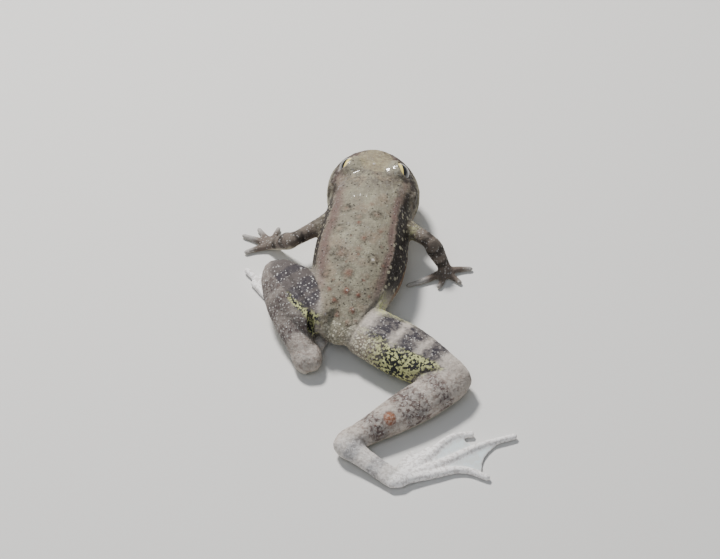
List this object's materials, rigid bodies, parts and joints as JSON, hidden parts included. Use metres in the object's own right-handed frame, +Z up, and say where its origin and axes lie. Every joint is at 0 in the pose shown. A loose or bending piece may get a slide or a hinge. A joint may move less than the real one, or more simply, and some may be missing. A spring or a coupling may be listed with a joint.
{
  "type": "foothill yellow-legged frog",
  "caption": "Life-size still model of a small river frog resting low, one hind leg folded and the other stretched out with its webbed foot spread",
  "frame": {"origin": "bottom centre of the whole frog's box, on the floor that it rests on", "axes": "+Z is up, the snout points to -Y, the frog's right side and its outstretched leg are to -X"},
  "size_m": [0.0824, 0.1096, 0.0191],
  "materials": {
    "skin_head": "moist smooth skin, grey olive with a paler snout",
    "skin_body": "moist finely grained skin, grey olive with red-brown warts",
    "skin_arm": "moist skin, grey brown with darker bars",
    "skin_leg": "moist skin, grey olive with dark bars and yellow behind the thigh",
    "skin_foot": "moist thin skin, pale with brown specks",
    "eye": "glossy, gold ring round a black level pupil"
  },
  "bodies": {
    "root": {"head": "skin_head", "torso": "skin_body", "eye_l": "eye", "eye_r": "eye", "upper_arm_l": "skin_arm", "upper_arm_r": "skin_arm", "forearm_l": "skin_arm", "forearm_r": "skin_arm", "hand_l": "skin_arm", "hand_r": "skin_arm", "thigh_l": "skin_leg", "thigh_r": "skin_leg", "shank_l": "skin_leg", "shank_r": "skin_leg", "tarsus_l": "skin_leg", "tarsus_r": "skin_leg", "foot_l": "skin_foot", "foot_r": "skin_foot"}
  },
  "joints": []
}
